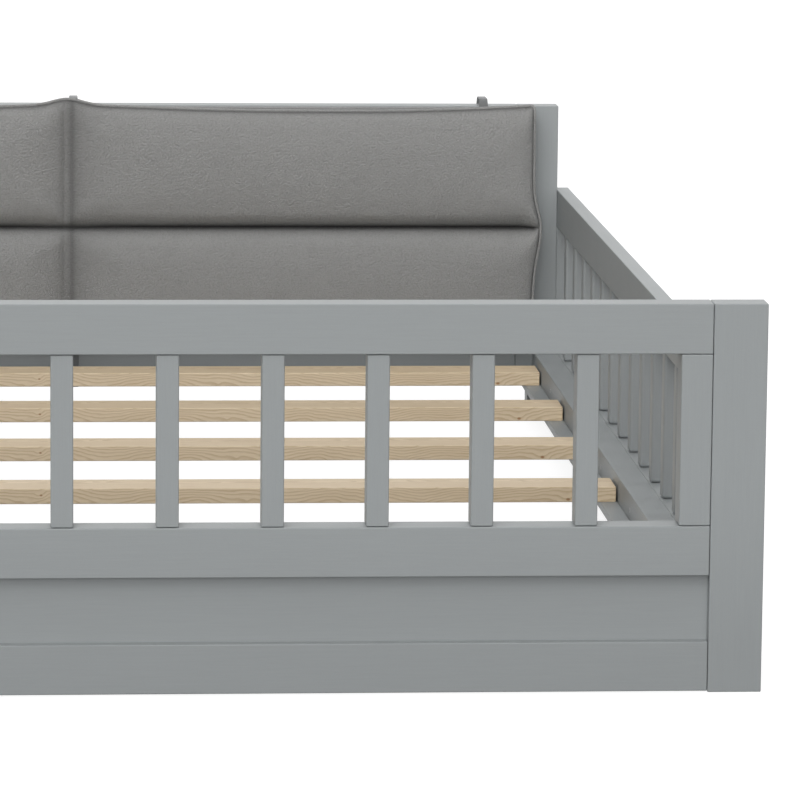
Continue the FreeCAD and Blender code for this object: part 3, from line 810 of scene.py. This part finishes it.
def evened(loop, step):
    """A closed loop's points, evenly spaced and with its corners rounded."""
    closed = np.vstack([loop, loop[:1]])
    lengths = np.concatenate([[0], np.cumsum(np.linalg.norm(np.diff(closed, axis=0), axis=1))])
    count = int(lengths[-1] / step)
    places = np.linspace(0, lengths[-1], count + 1)[:-1]
    path = np.stack([np.interp(places, lengths, closed[:, axis]) for axis in range(3)], 1)
    for _ in range(3):
        path = (np.roll(path, 1, 0) + 2 * path + np.roll(path, -1, 0)) / 4
    return path


def capsules(name, ends, radius, material):
    """Short thread stitches, each from one point to another."""
    shape = bmesh.new()
    for start, stop in ends:
        start, stop = Vector(start), Vector(stop)
        span = stop - start
        turn = span.to_track_quat("Z", "Y").to_matrix().to_4x4()
        place = Matrix.Translation((start + stop) / 2) @ turn
        stretch = Matrix.Diagonal((1, 1, span.length / 2 / radius, 1))
        bmesh.ops.create_uvsphere(shape, u_segments=8, v_segments=6, radius=radius, matrix=place @ stretch)
    mesh = bpy.data.meshes.new(name)
    shape.to_mesh(mesh)
    shape.free()
    piece = new_object(name, mesh)
    soften(piece, material, 0)
    return piece


def seam_stitches():
    """Two rows of stitches down the felled seam in the cushion's middle."""
    ends = []
    bottom, top = float(bottom_of(0)) + 0.012, float(top_of(0)) - 0.012
    for side in (-1, 1):
        x = CUSHION_MIDDLE + side * SEAM_ROW_OFFSET
        for number in range(int((top - bottom) / SEAM_STITCH_PITCH)):
            z = bottom + number * SEAM_STITCH_PITCH
            if abs(z + SEAM_STITCH_LENGTH / 2 - CREASE_LEVEL) < 0.006:
                continue
            start, stop = ([x, FRONT + float(front_depth(np.array(x), np.array(level))) - 0.0001, level]
                           for level in (z, z + SEAM_STITCH_LENGTH))
            ends.append((start, stop))
    return capsules("cushion_seam_stitches", ends, SEAM_STITCH_RADIUS, thread)


def make_cushion():
    """The cover, filled, with its two pipings and its seam's stitches."""
    cover, front_count, front_loop, back_loop = cushion_shell()
    fill_out(cover, front_count)
    soften(cover, leather)
    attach(cover, FRAME_BODY)
    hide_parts("headboard_cushion")
    front_path = evened(front_loop, PIPING_STEP)
    front_path[:, 1] -= FRONT_PIPING_FORWARD
    front_path[:, 0] += FRONT_PIPING_ASIDE * np.sign(front_path[:, 0] - CUSHION_MIDDLE)
    front_path[:, 2] += FRONT_PIPING_OUT * np.sign(front_path[:, 2] - CREASE_LEVEL)
    back_path = evened(back_loop, PIPING_STEP)
    back_path[:, 1] -= BACK_PIPING_FORWARD
    for name, path in (("cushion_front_piping", front_path), ("cushion_back_piping", back_path)):
        piping = tube(name, path, PIPING_RADIUS, leather)
        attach(piping, FRAME_BODY)
    stitches = seam_stitches()
    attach(stitches, FRAME_BODY)


# Webbing straps

STRAP_THICKNESS = 0.0017
STRAP_BEND_RADIUS = 0.0034
STRAP_TOP_NARROWING = 0.0022
LAP_LOW, LAP_HIGH = 0.30, 0.36
LAP_RAMP = 0.004
LAP_STITCH_INSET = 0.006
LAP_STITCH_PITCH = 0.0032
LAP_STITCH_SHARE = 0.72
LAP_STITCH_RADIUS = 0.00035
# Across a strap, as shares of its width and thickness: flat faces and soft selvedges.
STRAP_SECTION = ((-0.5, -0.30), (-0.44, -0.5), (0.44, -0.5), (0.5, -0.30),
                 (0.5, 0.30), (0.44, 0.5), (-0.44, 0.5), (-0.5, 0.30))


def strap_path(low, high, thickness, radius):
    """The middle line of a strap round the headboard, with rounded corners, in Y and Z."""
    left, right = low.y + thickness / 2, high.y - thickness / 2
    bottom, top = low.z + thickness / 2, high.z - thickness / 2
    corners = [(right - radius, top - radius, 0), (left + radius, top - radius, 90),
               (left + radius, bottom + radius, 180), (right - radius, bottom + radius, 270)]
    path = []
    for y, z, start in corners:
        for step in range(7):
            angle = math.radians(start + 15 * step)
            path.append((y + radius * math.cos(angle), z + radius * math.sin(angle)))
    return path


def band(name, path, middle, width_at, thickness, closed):
    """Flat webbing along a path in Y and Z, with soft selvedges."""
    count = len(path)
    points = []
    for place, (y, z) in enumerate(path):
        before = path[(place - 1) % count] if closed or place else path[0]
        after = path[(place + 1) % count] if closed or place < count - 1 else path[-1]
        run_y, run_z = after[0] - before[0], after[1] - before[1]
        length = math.hypot(run_y, run_z)
        normal_y, normal_z = run_z / length, -run_y / length
        width = width_at(z)
        for across, outward in STRAP_SECTION:
            points.append((middle + across * width, y + outward * thickness * normal_y,
                           z + outward * thickness * normal_z))
    sides = len(STRAP_SECTION)
    faces = []
    for place in range(count if closed else count - 1):
        after = (place + 1) % count
        for side in range(sides):
            turn = (side + 1) % sides
            faces.append((place * sides + side, place * sides + turn,
                          after * sides + turn, after * sides + side))
    if not closed:
        faces.append(tuple(range(sides))[::-1])
        faces.append(tuple(range((count - 1) * sides, count * sides)))
    mesh = bpy.data.meshes.new(name)
    mesh.from_pydata(points, [], faces)
    mesh.update()
    shape = bmesh.new()
    shape.from_mesh(mesh)
    bmesh.ops.recalc_face_normals(shape, faces=shape.faces)
    shape.to_mesh(mesh)
    shape.free()
    piece = new_object(name, mesh)
    piece.data.materials.append(webbing)
    piece.data.shade_smooth()
    return piece


def filled_in(path, step, closed=True):
    """A path in Y and Z with points added, so that none is much further than step from the next."""
    dense = []
    pairs = list(zip(path, path[1:] + path[:1])) if closed else list(zip(path, path[1:]))
    for (y, z), (next_y, next_z) in pairs:
        length = math.hypot(next_y - y, next_z - z)
        parts = max(1, int(length / step))
        for part in range(parts):
            share = part / parts
            dense.append((y + (next_y - y) * share, z + (next_z - z) * share))
    if not closed:
        dense.append(path[-1])
    return dense


def strap_loop(side, node):
    """One strap round the headboard, narrowed a little where it bends over the top."""
    low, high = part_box(node)
    full = high.x - low.x
    path = filled_in(strap_path(low, high, STRAP_THICKNESS, STRAP_BEND_RADIUS), 0.010)

    def width_at(z):
        return full - STRAP_TOP_NARROWING * float(smooth(np.array(z), high.z - 0.012, high.z))

    return band(f"webbing_strap_{side}", path, (low.x + high.x) / 2, width_at, STRAP_THICKNESS, True)


def strap_lap(side, node):
    """The strap's free end, lapped over it on the back of the headboard."""
    low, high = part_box(node)
    outer = high.y + STRAP_THICKNESS / 2
    sunk = high.y - STRAP_THICKNESS * 0.4
    run = [(sunk, LAP_LOW - LAP_RAMP), (outer, LAP_LOW), (outer, LAP_HIGH), (sunk, LAP_HIGH + LAP_RAMP)]
    width = high.x - low.x - 0.0006
    return band(f"strap_lap_{side}", filled_in(run, 0.006, False), (low.x + high.x) / 2,
                lambda z: width, STRAP_THICKNESS, False)


def lap_stitches(side, node):
    """A stitched box with a cross in it, which holds the lap down."""
    low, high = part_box(node)
    middle = (low.x + high.x) / 2
    half = (high.x - low.x) / 2 - 0.0022
    face = high.y + STRAP_THICKNESS + 0.0001
    corners = [(middle - half, LAP_LOW + LAP_STITCH_INSET), (middle + half, LAP_LOW + LAP_STITCH_INSET),
               (middle + half, LAP_HIGH - LAP_STITCH_INSET), (middle - half, LAP_HIGH - LAP_STITCH_INSET)]
    lines = list(zip(corners, corners[1:] + corners[:1]))
    lines += [(corners[0], corners[2]), (corners[1], corners[3])]
    ends = []
    for (x, z), (next_x, next_z) in lines:
        run_x, run_z = next_x - x, next_z - z
        count = max(2, int(math.hypot(run_x, run_z) / LAP_STITCH_PITCH))
        for number in range(count):
            start, stop = number / count, (number + LAP_STITCH_SHARE) / count
            ends.append(((x + run_x * start, face, z + run_z * start),
                         (x + run_x * stop, face, z + run_z * stop)))
    return capsules(f"strap_stitches_{side}", ends, LAP_STITCH_RADIUS, thread)


def make_straps():
    """Three straps, each with its stitched lap."""
    for side in ("left", "centre", "right"):
        node = f"cushion_strap_{side}"
        strap = strap_loop(side, node)
        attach(strap, FRAME_BODY)
        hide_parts(node)
        for piece in (strap_lap(side, node), lap_stitches(side, node)):
            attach(piece, FRAME_BODY)


make_cushion()
make_straps()
